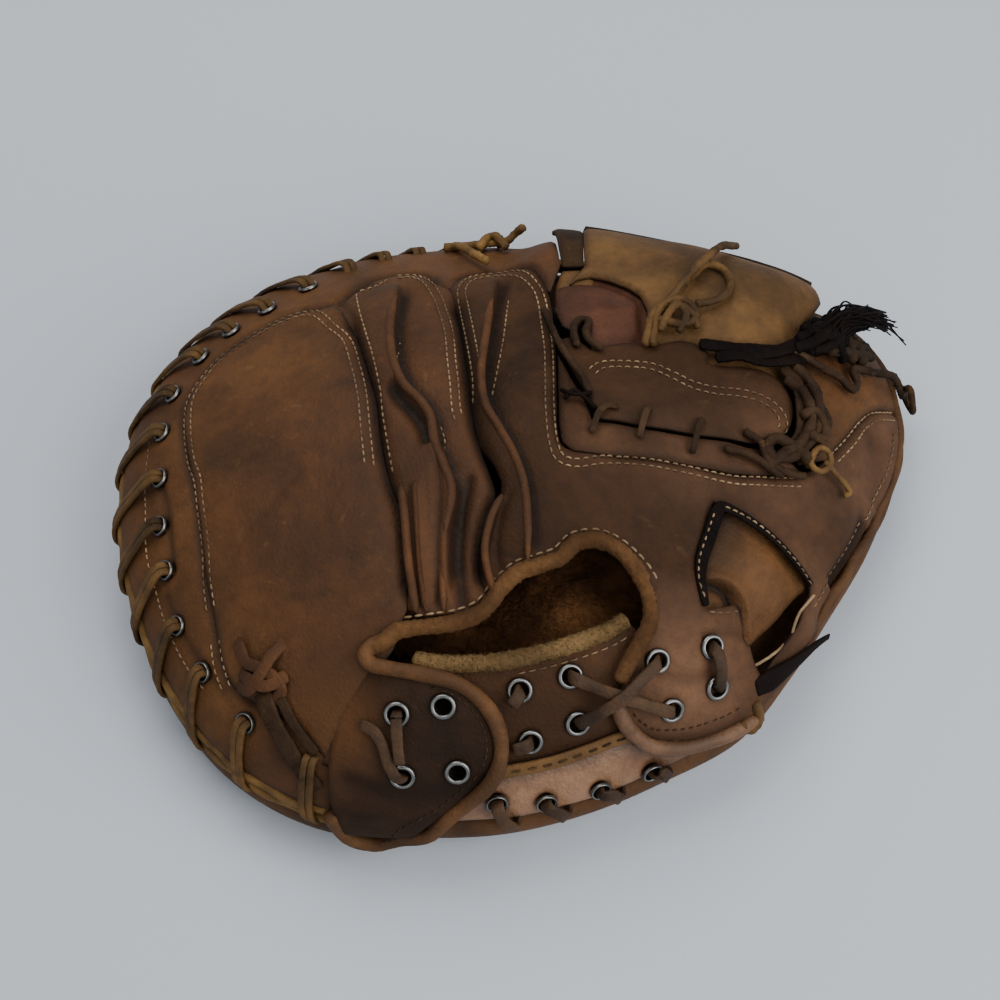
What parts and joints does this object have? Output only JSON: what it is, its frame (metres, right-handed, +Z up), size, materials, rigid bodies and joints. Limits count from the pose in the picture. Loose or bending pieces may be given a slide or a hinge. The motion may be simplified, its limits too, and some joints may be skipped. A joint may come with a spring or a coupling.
{
  "type": "catcher mitt",
  "caption": "Leather catcher's mitt lying palm down, its laced back showing finger stalls, open hand mouth, web, wrist strap and a frayed lace tassel.",
  "frame": {"origin": "middle of the whole mitt's box in plan, on the plane that it rests on", "axes": "+X towards the thumb side, +Y towards the finger tips, +Z up out of the back of the hand"},
  "size_m": [0.302, 0.2453, 0.0876],
  "materials": {
    "back_leather": "worn mid-brown leather, satin",
    "worn_leather": "rubbed grey-brown leather, matt to satin",
    "tan_leather": "golden tan leather, satin",
    "olive_leather": "olive-tan web leather, satin",
    "heel_leather": "smooth purplish-brown leather, slightly glossy",
    "purple_leather": "dark purplish leather, slightly glossy",
    "fleece": "fuzzy tan and olive wool pile",
    "brown_fleece": "matted brown wool pile",
    "lacing": "rawhide lace, rubbed",
    "black_leather": "near-black leather lace and binding",
    "eyelet_metal": "dull bright metal"
  },
  "bodies": {
    "root": {"palm_pad": "tan_leather", "hand_lining": "brown_fleece", "little_finger_panel": "back_leather", "ring_finger_panel": "worn_leather", "hand_panel": "worn_leather", "thumb_panel": "tan_leather", "rim_band": "back_leather", "heel_piece": "heel_leather", "web_band": "olive_leather", "web_flap": "purple_leather", "web_back_panel": "worn_leather", "web_lower_strip": "worn_leather", "thumb_sleeve": "tan_leather", "left_tab": "back_leather", "heel_band": "heel_leather", "opening_binding": "fleece", "centre_binding": "fleece", "tab_binding": "fleece", "strap_binding": "fleece", "finger_welt": "back_leather", "middle_welt": "back_leather", "rim_binding": "tan_leather", "vent_binding": "black_leather", "rim_lace": "lacing", "heel_lace": "lacing", "strap_lace": "lacing", "tab_lace": "lacing", "web_knot": "lacing", "top_knot": "lacing", "thumb_lace": "lacing", "black_lace": "black_leather", "tassel": "black_leather", "rim_eyelet_1": "eyelet_metal", "rim_eyelet_2": "eyelet_metal", "rim_eyelet_3": "eyelet_metal", "rim_eyelet_4": "eyelet_metal", "rim_eyelet_5": "eyelet_metal", "rim_eyelet_6": "eyelet_metal", "rim_eyelet_7": "eyelet_metal", "rim_eyelet_8": "eyelet_metal", "rim_eyelet_9": "eyelet_metal", "rim_eyelet_10": "eyelet_metal", "rim_eyelet_11": "eyelet_metal", "rim_eyelet_12": "eyelet_metal", "heel_eyelet_1": "eyelet_metal", "heel_eyelet_2": "eyelet_metal", "heel_eyelet_3": "eyelet_metal", "heel_eyelet_4": "eyelet_metal", "tab_eyelet_1": "eyelet_metal", "tab_eyelet_2": "eyelet_metal", "tab_eyelet_3": "eyelet_metal", "tab_eyelet_4": "eyelet_metal", "centre_eyelet_1": "eyelet_metal", "centre_eyelet_2": "eyelet_metal", "centre_eyelet_3": "eyelet_metal", "centre_eyelet_4": "eyelet_metal", "strap_eyelet_1": "eyelet_metal", "strap_eyelet_2": "eyelet_metal", "strap_eyelet_3": "eyelet_metal", "strap_eyelet_4": "eyelet_metal"}
  },
  "joints": []
}
